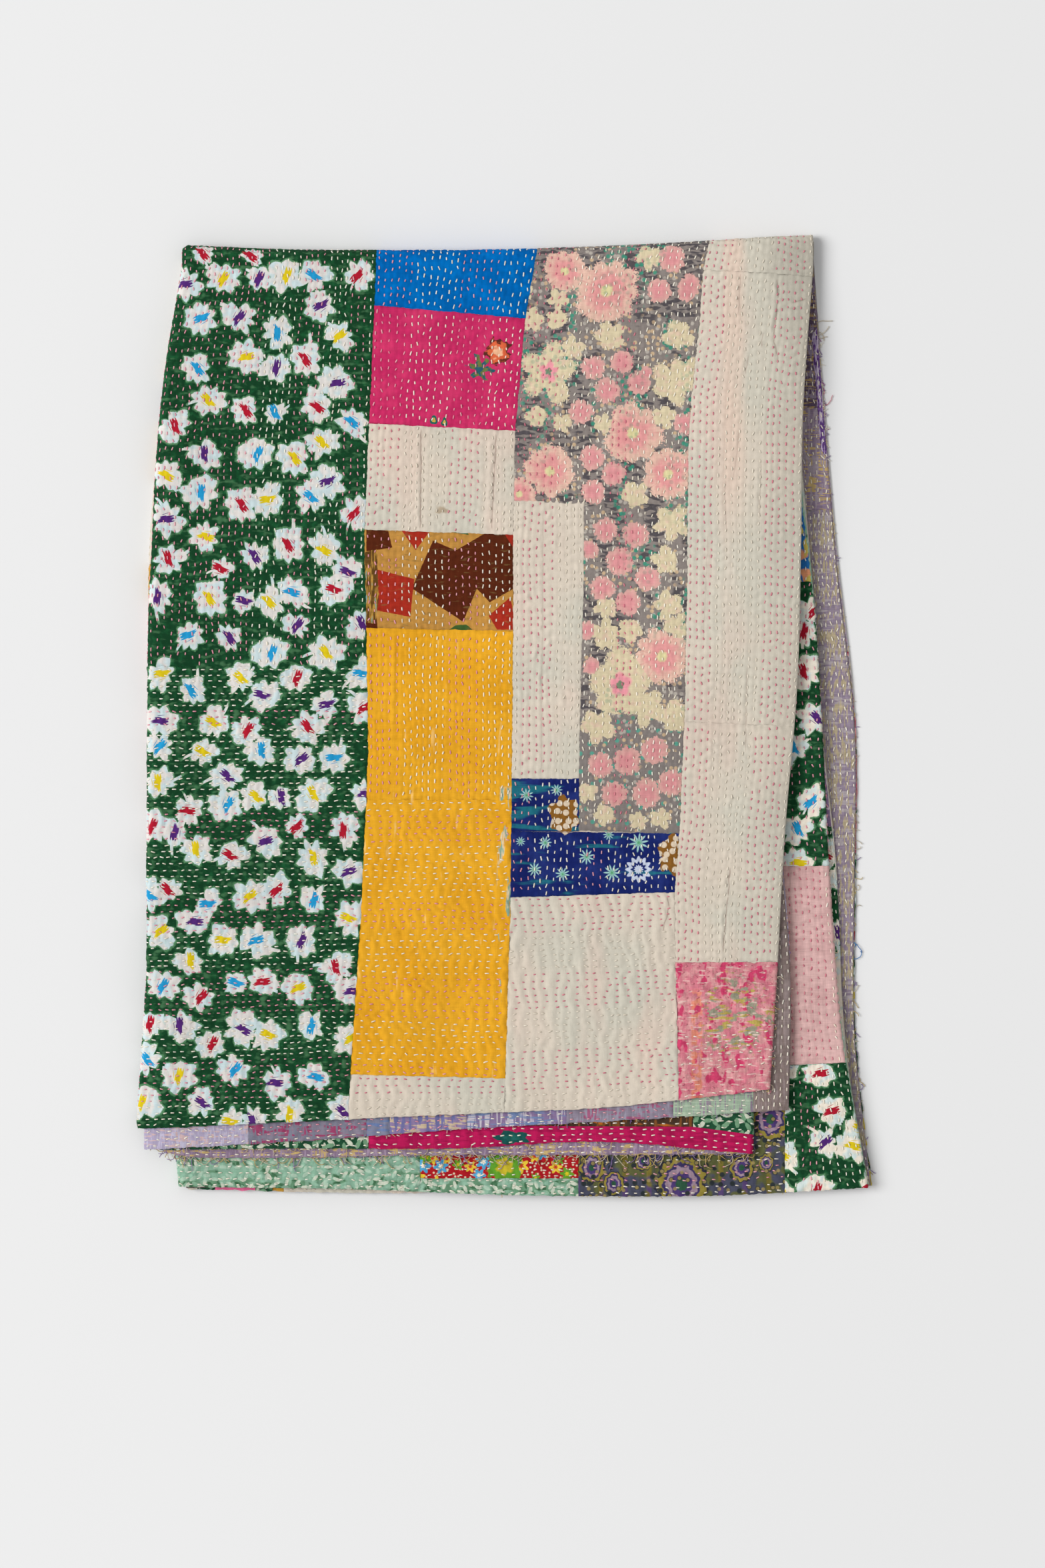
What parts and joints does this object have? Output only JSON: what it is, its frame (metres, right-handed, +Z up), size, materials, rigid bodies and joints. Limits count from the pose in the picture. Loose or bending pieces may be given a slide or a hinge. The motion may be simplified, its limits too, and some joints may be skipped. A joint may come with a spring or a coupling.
{
  "type": "folded kantha quilt",
  "caption": "Hand-stitched patchwork cotton quilt, folded into a flat stack of layers with staggered hems and rounded side folds.",
  "frame": {"origin": "middle of the folded quilt's box, on the surface that it lies on", "axes": "+X to the right of the patched face, +Y towards the last fold, +Z up out of the patched face"},
  "size_m": [0.6056, 0.7936, 0.0231],
  "materials": {
    "patched_cotton": "matte printed cotton patches in green, blue, magenta, cream, yellow and navy, with rows of running stitch"
  },
  "bodies": {
    "root": {"quilt": "patched_cotton"}
  },
  "joints": []
}
